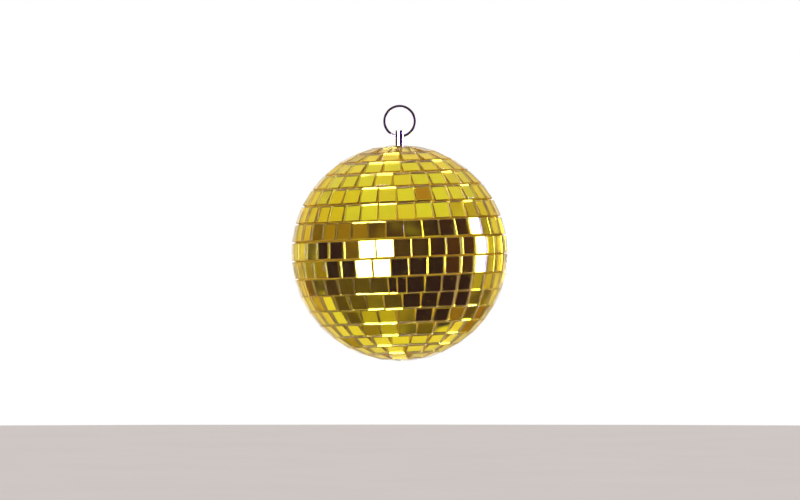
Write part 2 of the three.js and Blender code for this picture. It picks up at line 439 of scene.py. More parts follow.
@dataclass(frozen=True)
class FloorPaint(Finish):
    """The studio's plain pale floor, dead matt."""

    name: str = "studio_floor"
    pale: Colour = (0.86, 0.86, 0.85)
    shade: Colour = (0.80, 0.80, 0.79)
    cloud_scale: float = 3.0

    def sockets(self, bench: Bench) -> dict[str, Any]:
        """Makes the shader's inputs for the floor.

        Args:
            bench: The bench on the material's tree.

        Returns:
            Socket names to values or to output sockets.
        """
        clouds = bench.noise(bench.place(), self.cloud_scale, 4.0)
        return {
            "Base Color": bench.mix(clouds, self.pale, self.shade),
            "Roughness": 1.0,
            "Specular IOR Level": 0.0,
        }


# --------------------------------------------------------------------------------------------------
# Meshes
# --------------------------------------------------------------------------------------------------


def add_object(name: str, mesh: bpy.types.Mesh) -> bpy.types.Object:
    """Links a new object that holds a mesh.

    Args:
        name: The object's name.
        mesh: Its mesh.

    Returns:
        The new object.
    """
    piece = bpy.data.objects.new(name, mesh)
    bpy.context.scene.collection.objects.link(piece)
    return piece


def mesh_from(build: Callable[[bmesh.types.BMesh], None], name: str) -> bpy.types.Mesh:
    """Makes a mesh with a bmesh function.

    Args:
        build: Fills the bmesh.
        name: The mesh's name.

    Returns:
        The new mesh.
    """
    shape = bmesh.new()
    build(shape)
    mesh = bpy.data.meshes.new(name)
    shape.to_mesh(mesh)
    shape.free()
    return mesh


def evaluated_mesh(piece: bpy.types.Object) -> bpy.types.Mesh:
    """Returns the mesh that an object's modifiers make, as plain data."""
    depsgraph = bpy.context.evaluated_depsgraph_get()
    return bpy.data.meshes.new_from_object(piece.evaluated_get(depsgraph), depsgraph=depsgraph)


def bake_modifiers(piece: bpy.types.Object) -> None:
    """Replaces an object's mesh by what its modifiers make of it, and removes them.

    Args:
        piece: The object.
    """
    result = evaluated_mesh(piece)
    piece.modifiers.clear()
    piece.data = result


def shade_by_angle(mesh: bpy.types.Mesh, degrees: float) -> None:
    """Smooths a mesh and keeps edges sharper than an angle crisp."""
    mesh.shade_smooth()
    mesh.set_sharp_from_angle(angle=math.radians(degrees))


def cut_away(piece: bpy.types.Object, cutter: bpy.types.Object) -> None:
    """Cuts a shape out of a piece; the cut takes the cutter's material, where it has one.

    Args:
        piece: The piece, which is left as a plain mesh.
        cutter: The shape, which is removed afterwards.
    """
    cut = piece.modifiers.new("cut", "BOOLEAN")
    cut.operation = "DIFFERENCE"
    cut.solver = "EXACT"
    cut.material_mode = "TRANSFER" if cutter.data.materials else "INDEX"
    cut.object = cutter
    bake_modifiers(piece)
    bpy.data.objects.remove(cutter)


def sweep_loops(shape: bmesh.types.BMesh, loops: Sequence[Sequence[Vector]], closed: bool) -> None:
    """Skins a row of cross-sections with quads.

    Args:
        shape: The bmesh to add to.
        loops: Cross-sections with the same number of points, in order.
        closed: Whether the last section joins the first; otherwise both ends are capped.
    """
    rings = [[shape.verts.new(point) for point in loop] for loop in loops]
    pairs = list(zip(rings, rings[1:]))
    if closed:
        pairs.append((rings[-1], rings[0]))
    for near, far in pairs:
        for i, _ in enumerate(near):
            j = (i + 1) % len(near)
            shape.faces.new((near[i], near[j], far[j], far[i]))
    if not closed:
        shape.faces.new(list(reversed(rings[0])))
        shape.faces.new(rings[-1])
    bmesh.ops.recalc_face_normals(shape, faces=shape.faces)


def turned_mesh(name: str, profile: Sequence[tuple[float, float]], segments: int) -> bpy.types.Mesh:
    """Turns a closed outline about the Z axis.

    Args:
        name: The mesh's name.
        profile: Points (radius, height); a radius of 0 lies on the axis.
        segments: Steps round the axis.

    Returns:
        A closed mesh with outward faces.
    """

    def build(shape: bmesh.types.BMesh) -> None:
        """Sweeps the outline round the axis and closes it there."""
        loops = []
        for step in range(segments):
            turn = 2.0 * math.pi * step / segments
            loops.append([Vector((r * math.cos(turn), r * math.sin(turn), z)) for r, z in profile])
        sweep_loops(shape, loops, closed=True)
        bmesh.ops.remove_doubles(shape, verts=shape.verts, dist=1e-7)
        bmesh.ops.recalc_face_normals(shape, faces=shape.faces)

    return mesh_from(build, name)


# --------------------------------------------------------------------------------------------------
# The tiling
# --------------------------------------------------------------------------------------------------


@dataclass
class TileSizes:
    """One cut mirror tile and how carefully it is laid."""

    side: float = 9.6 * MM
    glass: float = 1.6 * MM
    arris: float = 0.10 * MM
    bite: float = 0.02 * MM
    coat: float = 0.08 * MM
    coat_inset: float = 0.06 * MM
    least_gap: float = 0.3 * MM
    fit: float = 0.3 * MM
    tilt: float = math.radians(0.75)
    twist: float = math.radians(1.3)
    slip: float = 0.16 * MM
    sunk: float = 0.16 * MM


@dataclass
class TileRow:
    """One row of tiles round the ball: where it lies and what is in it."""

    index: int
    latitude: float
    row_angle: float
    face_distance: float
    first_joint: float
    count: int
    sizes: TileSizes

    @property
    def name(self) -> str:
        """The CAD node that the row stands for."""
        return f"tile_row_{self.index + 1:02d}"

    def edges(self) -> tuple[float, float]:
        """Works out the lower and upper edge of the tiles, measured up the tile from its middle.

        Returns:
            The two edges. The one that faces the equator is cut back near the poles.
        """
        half = self.sizes.side / 2.0
        lean = abs(math.sin(self.latitude))
        out = self.face_distance * math.cos(self.latitude) + half * lean
        overreach = (math.hypot(out, half) - out) * lean
        space = 2.0 * self.face_distance * math.tan(self.row_angle / 2.0)
        cut = max(0.0, overreach - (space - self.sizes.side - self.sizes.fit))
        return (-half + cut, half) if self.latitude > 0 else (-half, half - cut)

    def half_width(self, up: float) -> float:
        """Works out half the tile's width at a height on it, nipped narrower near the poles.

        Args:
            up: The height on the tile, measured from its middle.

        Returns:
            Half the width there.
        """
        out = self.face_distance * math.cos(self.latitude) - up * math.sin(self.latitude)
        room = out * math.tan(math.pi / self.count) - self.sizes.least_gap / 2.0
        return min(self.sizes.side / 2.0, room)


@dataclass
class Tiling:
    """All the rows of mirror tiles, their silvering and the cloth strips under them."""

    centre: float
    face_distance: float = 62.1 * MM
    lean: float = math.radians(-2.3)
    top_edge: float = math.radians(87.4)
    row_groups: tuple[tuple[int, float], ...] = ((2, 9.7), (8, 10.05), (8, 9.27))
    polar_tiles: int = 8
    pitch: float = 10.4 * MM
    filler_row: int = 10
    fillers: tuple[tuple[float, float], ...] = ((0.24, 0.44), (0.74, 0.48))
    sizes: TileSizes = field(default_factory=TileSizes)
    first_joints: tuple[float, ...] = (
        0, 4, 5, 4.6, -2.6, -0.5, -0.5, 2.9, -2.8, 4.9, 3.2, 0.5, -3.3, -3.3, 6.2, 2, 9, 20,
    )

    def rows(self) -> list[TileRow]:
        """Lists the rows from the top of the ball down."""
        angles = [math.radians(angle) for count, angle in self.row_groups for _ in range(count)]
        rows = []
        edge = self.top_edge
        for index, angle in enumerate(angles):
            latitude = edge - angle / 2.0
            edge -= angle
            polar = index in (0, len(angles) - 1)
            narrow = abs(latitude) + angle / 2.0
            mean = (math.cos(latitude) + math.cos(narrow)) / 2.0
            fitting = math.ceil(2.0 * math.pi * self.face_distance * mean / self.pitch)
            rows.append(
                TileRow(
                    index=index,
                    latitude=latitude,
                    row_angle=angle,
                    face_distance=self.face_distance,
                    first_joint=math.radians(self.first_joints[index]),
                    count=self.polar_tiles if polar else fitting,
                    sizes=self.sizes,
                )
            )
        return rows

    def places(self, row: TileRow) -> bpy.types.Mesh:
        """Makes a mesh with one point for each tile of a row.

        Args:
            row: The row of tiles.

        Returns:
            Points with the attributes longitude and width, the tile's share of the full width. One
            row is closed with two narrow tiles in the place of one.
        """
        step = 2.0 * math.pi / row.count
        spots = [(row.first_joint + (k + 0.5) * step, 1.0) for k in range(row.count)]
        if row.index == self.filler_row:
            joint = row.first_joint - step
            spots[-1:] = [(joint + along * step, width) for along, width in self.fillers]
        mesh = bpy.data.meshes.new(f"{row.name}_places")
        mesh.from_pydata([(0.0, 0.0, 0.0)] * len(spots), [], [])
        for name, column in (("longitude", 0), ("width", 1)):
            attribute = mesh.attributes.new(name, "FLOAT", "POINT")
            attribute.data.foreach_set("value", [spot[column] for spot in spots])
        return mesh

    def slab(self, row: TileRow, layer: TileLayer) -> bpy.types.Mesh:
        """Makes one tile of a row: its glass, or the silvering plate behind it.

        Args:
            row: The row, which sets how the tile is nipped.
            layer: Which of the two.

        Returns:
            A closed mesh with the face at Z 0 looking up Z, and the face attribute rim on all but
            its front (silvering) or on its cut sides (glass).
        """
        sizes = self.sizes
        low, high = row.edges()
        if layer is TileLayer.GLASS:
            top, bottom, inset = 0.0, -sizes.glass, 0.0
        else:
            top = -sizes.glass + sizes.bite
            bottom, inset = top - sizes.coat, sizes.coat_inset

        def build(shape: bmesh.types.BMesh) -> None:
            """Makes the plate between its two levels and eases the glass's edges."""
            corners = []
            for up, side in ((low, -1), (low, 1), (high, 1), (high, -1)):
                inward = inset if up == low else -inset
                corners.append(Vector((side * (row.half_width(up) - inset), up + inward, top)))
            loops = [corners, [Vector((c.x, c.y, bottom)) for c in corners]]
            sweep_loops(shape, loops, closed=False)
            if layer is TileLayer.GLASS:
                edges = [e for e in shape.edges if e.calc_face_angle() > SHARP_EDGE]
                bmesh.ops.bevel(
                    shape, geom=edges, offset=sizes.arris, segments=1, profile=0.5, affect="EDGES"
                )
            shape.normal_update()

        mesh = mesh_from(build, f"{row.name}_{layer.value}_slab")
        rim = mesh.attributes.new("rim", "BOOLEAN", "FACE")
        if layer is TileLayer.GLASS:
            flags = [abs(face.normal.z) < STEEP for face in mesh.polygons]
        else:
            flags = [face.normal.z < STEEP for face in mesh.polygons]
        rim.data.foreach_set("value", flags)
        return mesh


@dataclass
class TileLayerTree:
    """The Geometry Nodes tree that lays a row's slabs on the ball."""

    name: str = "lay_tiles"
    tree: bpy.types.NodeTree = field(init=False)
    keys: dict[str, str] = field(init=False, default_factory=dict)

    def __post_init__(self) -> None:
        """Builds the tree and its named inputs."""
        self.tree = bpy.data.node_groups.new(self.name, "GeometryNodeTree")
        sockets = (
            ("Slab", "NodeSocketObject"),
            ("Latitude", "NodeSocketFloat"),
            ("Face Distance", "NodeSocketFloat"),
            ("Centre Height", "NodeSocketFloat"),
            ("Lean", "NodeSocketFloat"),
            ("Tilt", "NodeSocketFloat"),
            ("Twist", "NodeSocketFloat"),
            ("Slip", "NodeSocketFloat"),
            ("Seed", "NodeSocketInt"),
            ("Face Material", "NodeSocketMaterial"),
            ("Rim Material", "NodeSocketMaterial"),
        )
        face = self.tree.interface
        face.new_socket("Geometry", in_out="INPUT", socket_type="NodeSocketGeometry")
        for name, kind in sockets:
            item = face.new_socket(name, in_out="INPUT", socket_type=kind)
            self.keys[name] = item.identifier
        face.new_socket("Geometry", in_out="OUTPUT", socket_type="NodeSocketGeometry")
        self._wire(Bench(self.tree))

    def _attribute(self, bench: Bench, name: str, kind: str = "FLOAT") -> bpy.types.NodeSocket:
        """Adds a named attribute of a kind and returns its value."""
        node = bench.add("GeometryNodeInputNamedAttribute", {"Name": name}, data_type=kind)
        return node.outputs["Attribute"]

    def _axes(self, bench: Bench, given: dict[str, Any]) -> tuple[Any, Any, Any]:
        """Adds a tile's directions on the ball.

        Args:
            bench: The tree's bench.
            given: The group's input sockets by name.

        Returns:
            Sockets for the outward, rightward and upward unit vectors.
        """
        longitude = self._attribute(bench, "longitude")
        sin_lon = bench.maths("SINE", longitude)
        cos_lon = bench.maths("COSINE", longitude)
        sin_lat = bench.maths("SINE", given["Latitude"])
        cos_lat = bench.maths("COSINE", given["Latitude"])
        back_cos = bench.maths("MULTIPLY", cos_lon, -1.0)
        back_sin = bench.maths("MULTIPLY", sin_lon, -1.0)
        outward = bench.combine(
            bench.maths("MULTIPLY", sin_lon, cos_lat),
            bench.maths("MULTIPLY", back_cos, cos_lat),
            sin_lat,
        )
        right = bench.combine(cos_lon, sin_lon, 0.0)
        upward = bench.combine(
            bench.maths("MULTIPLY", back_sin, sin_lat),
            bench.maths("MULTIPLY", cos_lon, sin_lat),
            cos_lat,
        )
        return outward, right, upward

    def _spread(self, bench: Bench, given: dict[str, Any], offset: int) -> bpy.types.Node:
        """Adds a random vector from -1 to 1 for each tile and splits it into X, Y and Z.

        Args:
            bench: The tree's bench.
            given: The group's input sockets by name.
            offset: What is added to the row's seed.

        Returns:
            The node that splits the vector.
        """
        seed = bench.maths("ADD", given["Seed"], float(offset))
        inputs = {0: (-1.0, -1.0, -1.0), 1: (1.0, 1.0, 1.0), "Seed": seed}
        node = bench.add("FunctionNodeRandomValue", inputs, data_type="FLOAT_VECTOR")
        return bench.add("ShaderNodeSeparateXYZ", {0: node.outputs[0]})

    def _wire(self, bench: Bench) -> None:
        """Wires the whole tree.

        Args:
            bench: The tree's bench.
        """
        source = bench.add("NodeGroupInput")
        given = {socket.name: socket for socket in source.outputs}
        outward, right, upward = self._axes(bench, given)

        slips = self._spread(bench, given, 1)
        place = bench.scaled(outward, given["Face Distance"])
        for axis, direction in (("X", right), ("Y", upward)):
            amount = bench.maths("MULTIPLY", slips.outputs[axis], given["Slip"])
            place = bench.vector("ADD", place, bench.scaled(direction, amount)).outputs[0]
        points = bench.add(
            "GeometryNodeSetPosition", {"Geometry": given["Geometry"], "Position": place}
        )

        square = bench.add(
            "FunctionNodeAxesToRotation",
            {"Primary Axis": outward, "Secondary Axis": upward},
            primary_axis="Z",
            secondary_axis="Y",
        )
        tilts = self._spread(bench, given, 2)
        turn = bench.combine(
            bench.maths("MULTIPLY", tilts.outputs["X"], given["Tilt"]),
            bench.maths("MULTIPLY", tilts.outputs["Y"], given["Tilt"]),
            bench.maths("MULTIPLY", tilts.outputs["Z"], given["Twist"]),
        )
        jitter = bench.add("FunctionNodeEulerToRotation", {"Euler": turn})
        rotation = bench.add(
            "FunctionNodeRotateRotation",
            {"Rotation": square.outputs[0], "Rotate By": jitter.outputs[0]},
            rotation_space="LOCAL",
        )
        slab = bench.add("GeometryNodeObjectInfo", {"Object": given["Slab"], "As Instance": True})
        laid = bench.add(
            "GeometryNodeInstanceOnPoints",
            {
                "Points": points.outputs[0],
                "Instance": slab.outputs["Geometry"],
                "Rotation": rotation.outputs[0],
                "Scale": bench.combine(self._attribute(bench, "width"), 1.0, 1.0),
            },
        )
        shade = bench.add("FunctionNodeRandomValue", {"Seed": given["Seed"]}, data_type="FLOAT")
        toned = bench.add(
            "GeometryNodeStoreNamedAttribute",
            {"Geometry": laid.outputs[0], "Name": "tone", "Value": shade.outputs[1]},
            data_type="FLOAT",
            domain="INSTANCE",
        )
        leaned = bench.add(
            "GeometryNodeTransform",
            {
                "Geometry": toned.outputs[0],
                "Translation": bench.combine(0.0, 0.0, given["Centre Height"]),
                "Rotation": bench.add(
                    "FunctionNodeEulerToRotation", {"Euler": bench.combine(0.0, given["Lean"], 0.0)}
                ).outputs[0],
            },
        )
        dressed = bench.add("GeometryNodeRealizeInstances", {0: leaned.outputs[0]})
        rim = self._attribute(bench, "rim", "BOOLEAN")
        for name, chosen in (("Face Material", True), ("Rim Material", rim)):
            inputs = {"Geometry": dressed.outputs[0], "Selection": chosen, "Material": given[name]}
            dressed = bench.add("GeometryNodeSetMaterial", inputs)
        bench.add("NodeGroupOutput", {0: dressed.outputs[0]})

    def lay(self, piece: bpy.types.Object, values: dict[str, Any]) -> None:
        """Runs the tree on an object of points and keeps the plain mesh.

        Args:
            piece: The object whose points are the tiles' places.
            values: Input names to values.
        """
        modifier = piece.modifiers.new(self.name, "NODES")
        modifier.node_group = self.tree
        for name, value in values.items():
            modifier[self.keys[name]] = value
        bake_modifiers(piece)


@dataclass
class MirrorSkin:
    """Lays every row: glass, silvering and the cloth strip below, and the small tile at the bottom."""

    tiling: Tiling
    pole_tile_side: float = 4.0 * MM
    cloth_lift: float = 0.18 * MM
    cloth_thickness: float = 0.34 * MM
    cloth_margin: float = 0.5 * MM
    cloth_least_radius: float = 0.2 * MM
    cloth_facets_per_tile: int = 4
    cloth_crisp_angle: float = 30.0
    nip_radius: float = 2.8 * MM
    nip_margin: float = 2.0 * MM
    nip_segments: int = 48
    middle_tone: float = 0.5
    seed: int = 41
    glass: ClearGlass = ClearGlass("tile_glass", (1.0, 0.995, 0.97), (1.0, 0.85, 0.25), 0.012, 0.017)
    cut_glass: ClearGlass = ClearGlass("tile_cut_edge", (1.0, 0.74, 0.16), (1.0, 0.84, 0.12), 0.14, 0.22)
    silvering: GoldSilvering = GoldSilvering()
    paint: BackPaint = BackPaint()
    cloth: WovenCloth = WovenCloth()

    def build(self) -> None:
        """Builds and dresses the whole skin."""
        layer_tree = TileLayerTree()
        materials = {
            TileLayer.GLASS: (self.glass.material(), self.cut_glass.material()),
            TileLayer.SILVERING: (self.silvering.material(), self.paint.material()),
        }
        cloth = self.cloth.material()
        for row in self.tiling.rows():
            for layer in TileLayer:
                piece = self._lay_row(row, layer, layer_tree, materials[layer])
                if row.index == 0:
                    self._nip_round_post(piece, materials[layer][1])
                self._hand_over(piece, layer, row.name)
            strip = self._cloth_strip(row)
            strip.data.materials.append(cloth)
            finish_piece(strip, Body.BALL)
        self._pole_tile(materials)

    def _hand_over(self, piece: bpy.types.Object, layer: TileLayer, node: str) -> None:
        """Hands over a layer of tiles; the glass replaces the CAD node for both."""
        finish_piece(piece, Body.BALL, (node,) if layer is TileLayer.GLASS else ())

    def _lay_row(
        self, row: TileRow, layer: TileLayer, layer_tree: TileLayerTree, dress: Dress
    ) -> bpy.types.Object:
        """Lays one layer of one row.

        Args:
            row: The row of tiles.
            layer: Its glass or its silvering.
            layer_tree: The Geometry Nodes tree.
            dress: The face's and the rim's material.

        Returns:
            The laid piece as a plain mesh.
        """
        sizes = self.tiling.sizes
        slab = add_object(f"{row.name}_{layer.value}_sample", self.tiling.slab(row, layer))
        piece = add_object(f"{layer.value}_row_{row.index + 1:02d}", self.tiling.places(row))
        layer_tree.lay(
            piece,
            {
                "Slab": slab,
                "Latitude": row.latitude,
                "Face Distance": row.face_distance - sizes.sunk,
                "Centre Height": self.tiling.centre,
                "Lean": self.tiling.lean,
                "Tilt": sizes.tilt,
                "Twist": sizes.twist,
                "Slip": sizes.slip,
                "Seed": self.seed + row.index,
                "Face Material": dress[0],
                "Rim Material": dress[1],
            },
        )
        bpy.data.objects.remove(slab)
        return piece

    def _nip_round_post(self, piece: bpy.types.Object, rim: bpy.types.Material) -> None:
        """Cuts the top row's tiles back round the hanger post.

        Args:
            piece: The top row's glass or silvering.
            rim: The material of the cut.
        """
        low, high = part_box("tile_row_01")
        bottom, top = low.z - self.nip_margin, high.z + self.nip_margin
        profile = [(0.0, bottom), (self.nip_radius, bottom), (self.nip_radius, top), (0.0, top)]
        mesh = turned_mesh("post_clearance", profile, self.nip_segments)
        mesh.materials.append(rim)
        cut_away(piece, add_object(mesh.name, mesh))

    def _cloth_strip(self, row: TileRow) -> bpy.types.Object:
        """Makes the cloth strip that carries a row, as a faceted band with its own UV map.

        Args:
            row: The row of tiles.

        Returns:
            The strip in its place on the ball.
        """
        low, high = row.edges()
        top = row.face_distance - self.tiling.sizes.sunk - self.tiling.sizes.glass
        top -= self.tiling.sizes.coat + self.cloth_lift
        bottom = top - self.cloth_thickness
        corners = (
            (low - self.cloth_margin, bottom),
            (high + self.cloth_margin, bottom),
            (high + self.cloth_margin, top),
            (low - self.cloth_margin, top),
        )
        section = []
        for up, depth in corners:
            radius = depth * math.cos(row.latitude) - up * math.sin(row.latitude)
            height = depth * math.sin(row.latitude) + up * math.cos(row.latitude)
            section.append((max(radius, self.cloth_least_radius), height))
        facets = self.cloth_facets_per_tile * row.count
        mesh = turned_mesh(f"cloth_strip_{row.index + 1:02d}", section, facets)
        uv = mesh.uv_layers.new(name="UVMap")
        for loop in mesh.loops:
            point = mesh.vertices[loop.vertex_index].co
            across = point.z / self.tiling.sizes.side
            uv.data[loop.index].uv = (math.atan2(point.y, point.x) / (2.0 * math.pi) + 0.5, across)
        shade_by_angle(mesh, self.cloth_crisp_angle)
        self._lean_into_place(mesh)
        return add_object(mesh.name, mesh)

    def _lean_into_place(self, mesh: bpy.types.Mesh) -> None:
        """Turns a mesh made in the tiling's own axes into the frame."""
        turn = Matrix.Rotation(self.tiling.lean, 4, "Y")
        mesh.transform(Matrix.Translation((0.0, 0.0, self.tiling.centre)) @ turn)

    def _pole_tile(self, materials: dict[TileLayer, Dress]) -> None:
        """Lays the small square tile that closes the bottom.

        Args:
            materials: The face's and the rim's material of each layer.
        """
        rows = self.tiling.rows()
        sizes = self.tiling.sizes
        share = self.pole_tile_side / sizes.side
        for layer in TileLayer:
            mesh = self.tiling.slab(rows[len(rows) // 2], layer)
            mesh.transform(Matrix.Diagonal((share, share, 1.0, 1.0)))
            mesh.transform(Matrix.Translation((0.0, 0.0, self.tiling.face_distance - sizes.sunk)))
            mesh.transform(Matrix.Rotation(math.pi, 4, "X"))
            self._lean_into_place(mesh)
            for material in materials[layer]:
                mesh.materials.append(material)
            rim = mesh.attributes["rim"]
            for face, flag in zip(mesh.polygons, rim.data):
                face.material_index = int(flag.value)
            tone = mesh.attributes.new("tone", "FLOAT", "FACE")
            tone.data.foreach_set("value", [self.middle_tone] * len(mesh.polygons))
            self._hand_over(add_object(f"{layer.value}_bottom_tile", mesh), layer, "bottom_pole_tile")


def finish_piece(
    piece: bpy.types.Object, body: Body, stands_for: Sequence[str] = ()
) -> None:
    """Hands a finished piece to the frame and reports it.

    Args:
        piece: The finished piece.
        body: The body it moves with.
        stands_for: CAD nodes that it replaces.
    """
    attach(piece, body.value)
    if stands_for:
        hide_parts(*stands_for)
    log.info("%s: %d faces on %s", piece.name, len(piece.data.polygons), body.value)


# --------------------------------------------------------------------------------------------------
# Ring, post and what is inside
# --------------------------------------------------------------------------------------------------


@dataclass
class SplitRing:
    """The split ring: flat wire wound twice round, with a crossover at the lower left."""

    inner_radius: float = 8.05 * MM
    wire_width: float = 1.4 * MM
    wire_thickness: float = 0.7 * MM
    coil_gap: float = 0.06 * MM
    corner: float = 0.16 * MM
    corner_steps: int = 5
    least_corner: float = 0.02 * MM
    end_shrink: float = 0.1 * MM
    coils: int = 2
    crisp_angle: float = 40.0
    crossover_start: float = 12.0
    crossover_end: float = 38.0
    end_clearance: float = 1.5
    step: float = 2.5
    finish: PlatedSteel = PlatedSteel(
        "ring_nickel", (0.80, 0.76, 0.82), (0.66, 0.62, 0.68), 0.03, 0.03, 0.0000003
    )

    def _depth(self, travel: float) -> float:
        """Works out how far back the wire lies.

        Args:
            travel: Degrees along the wire from its start.

        Returns:
            The depth of the wire's middle, from minus to plus half a coil's pitch.
        """
        half_pitch = (self.wire_thickness + self.coil_gap) / 2.0
        start = 360.0 - (self.crossover_end - self.crossover_start)
        along = min(1.0, max(0.0, (travel - start) / (360.0 - start)))
        return half_pitch * (2.0 * along * along * (3.0 - 2.0 * along) - 1.0)

    def _section(self, shrink: float) -> list[tuple[float, float]]:
        """Makes the wire's rounded section.

        Args:
            shrink: How far its outline is drawn in, as at the wire's ends.

        Returns:
            Points across and along the depth of the wire.
        """
        points = []
        half_width = self.wire_width / 2.0 - shrink
        half_depth = self.wire_thickness / 2.0 - shrink
        corner = max(self.corner - shrink, self.least_corner)
        for quarter, (sx, sy) in enumerate(((1, 1), (-1, 1), (-1, -1), (1, -1))):
            for part in range(self.corner_steps + 1):
                turn = math.radians(90.0 * (quarter + part / self.corner_steps))
                x = sx * (half_width - corner) + corner * math.cos(turn)
                y = sy * (half_depth - corner) + corner * math.sin(turn)
                points.append((x, y))
        return points

    def build(self) -> None:
        """Builds and dresses the ring."""
        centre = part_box("split_ring")[1].z - self.inner_radius - self.wire_width
        middle = self.inner_radius + self.wire_width / 2.0
        end = 360.0 * self.coils - (self.crossover_end - self.crossover_start) - self.end_clearance
        steps = math.ceil(end / self.step)
        loops = []
        for index in range(steps + 1):
            travel = end * index / steps
            shrink = self.end_shrink if index in (0, steps) else 0.0
            turn = math.radians(-self.crossover_end - travel)
            loop = []
            for across, deep in self._section(shrink):
                x = (middle + across) * math.sin(turn)
                z = centre - (middle + across) * math.cos(turn)
                loop.append(Vector((x, self._depth(travel) + deep, z)))
            loops.append(loop)
        mesh = mesh_from(lambda shape: sweep_loops(shape, loops, closed=False), RING_PIECE)
        shade_by_angle(mesh, self.crisp_angle)
        mesh.materials.append(self.finish.material())
        piece = add_object(mesh.name, mesh)
        flats = piece.modifiers.new("flat_faces", "WEIGHTED_NORMAL")
        flats.keep_sharp = True
        bake_modifiers(piece)
        finish_piece(piece, Body.RING, ("split_ring",))


@dataclass
class HangerPost:
    """The chromed post: a drilled head, a seat flange and a threaded shank."""

    radius: float = 2.5 * MM
    edge_round: float = 0.45 * MM
    edge_steps: int = 6
    ease: float = 0.15 * MM
    hole_radius: float = 1.5 * MM
    hole_below_top: float = 3.6 * MM
    mouth: float = 0.225 * MM
    flange_radius: float = 4.2 * MM
    flange_height: float = 1.0 * MM
    shank_radius: float = 2.0 * MM
    thread_pitch: float = 0.7 * MM
    thread_depth: float = 0.38 * MM
    thread_crest: Band = (0.42, 0.58)
    thread_runout: float = 0.3
    segments: int = 96
    drill_segments: int = 64
    crisp_angle: float = 30.0
    round_within: float = 0.01 * MM
    flange_share: float = 0.98
    finish: PlatedSteel = PlatedSteel(
        "post_chrome_plate", (0.88, 0.85, 0.92), (0.78, 0.74, 0.82), 0.03, 0.03, 0.0000003
    )

    def _outline(self, bottom: float, flange_bottom: float, top: float) -> list[tuple[float, float]]:
        """Lists the post's half section from the bottom up.

        Args:
            bottom: The height of the shank's end.
            flange_bottom: The height of the flange's seat.
            top: The height of the post's top.

        Returns:
            Points (radius, height).
        """
        flange_top = flange_bottom + self.flange_height
        root = self.shank_radius - self.thread_depth
        pitch = self.thread_pitch
        points = [(0.0, bottom), (root, bottom)]
        for turn in range(int((flange_bottom - bottom - pitch) / pitch)):
            level = bottom + (turn + 0.5) * pitch
            points.append((root, level))
            points += [(self.shank_radius, level + share * pitch) for share in self.thread_crest]
        points += [
            (root, flange_bottom - self.thread_runout * pitch),
            (root, flange_bottom),
            (self.flange_radius - self.ease, flange_bottom),
            (self.flange_radius, flange_bottom + self.ease),
            (self.flange_radius, flange_top - self.ease),
            (self.flange_radius - self.ease, flange_top),
            (self.radius + self.ease, flange_top),
            (self.radius, flange_top + self.ease),
        ]
        for part in range(self.edge_steps + 1):
            turn = math.radians(90.0 * part / self.edge_steps)
            inward = self.edge_round * (1.0 - math.cos(turn))
            points.append((self.radius - inward, top - self.edge_round * (1.0 - math.sin(turn))))
        points.append((0.0, top))
        return points

    def _drill(self, height: float) -> bpy.types.Object:
        """Makes the drill, along X, with flared mouths where it leaves the post.

        Args:
            height: The height of the hole's axis.

        Returns:
            The shape that the hole takes away.
        """
        reach = 2.0 * self.radius
        flare = self.radius - self.mouth
        wide = self.hole_radius + (reach - flare)
        profile = [(0.0, -reach), (wide, -reach), (self.hole_radius, -flare)]
        profile += [(self.hole_radius, flare), (wide, reach), (0.0, reach)]
        mesh = turned_mesh("post_drill", profile, self.drill_segments)
        mesh.transform(Matrix.Rotation(math.pi / 2.0, 4, "Y"))
        mesh.transform(Matrix.Translation((0.0, 0.0, height)))
        return add_object("post_drill", mesh)

    def build(self) -> None:
        """Builds and dresses the post."""
        low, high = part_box("hanger_post")
        seat = self._seat_height(fallback=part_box("upper_core_shell")[1].z)
        mesh = turned_mesh("hanger_post_chrome", self._outline(low.z, seat, high.z), self.segments)
        mesh.materials.append(self.finish.material())
        piece = add_object(mesh.name, mesh)
        cut_away(piece, self._drill(high.z - self.hole_below_top))
        shade_by_angle(piece.data, self.crisp_angle)
        self._true_round(piece.data)
        finish_piece(piece, Body.BALL, ("hanger_post",))

    def _true_round(self, mesh: bpy.types.Mesh) -> None:
        """Gives the post's round side its exact normals, which the drilled faces would bend.

        Args:
            mesh: The drilled post.
        """
        normals = [(0.0, 0.0, 0.0)] * len(mesh.loops)
        for face in mesh.polygons:
            corners = [mesh.vertices[index].co for index in face.vertices]
            if all(abs(math.hypot(c.x, c.y) - self.radius) < self.round_within for c in corners):
                for index in face.loop_indices:
                    corner = mesh.vertices[mesh.loops[index].vertex_index].co
                    normals[index] = Vector((corner.x, corner.y, 0.0)).normalized()
        mesh.normals_split_custom_set(normals)

    def _seat_height(self, fallback: float) -> float:
        """Finds the flange's lower face: the lowest place where the CAD post is widest.

        Args:
            fallback: The height to use where the CAD post has no such place.

        Returns:
            The height of the flange's seat.
        """
        least = self.flange_share * self.flange_radius
        places = [vertex.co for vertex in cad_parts["hanger_post"].data.vertices]
        heights = [place.z for place in places if math.hypot(place.x, place.y) > least]
        return min(heights, default=fallback)


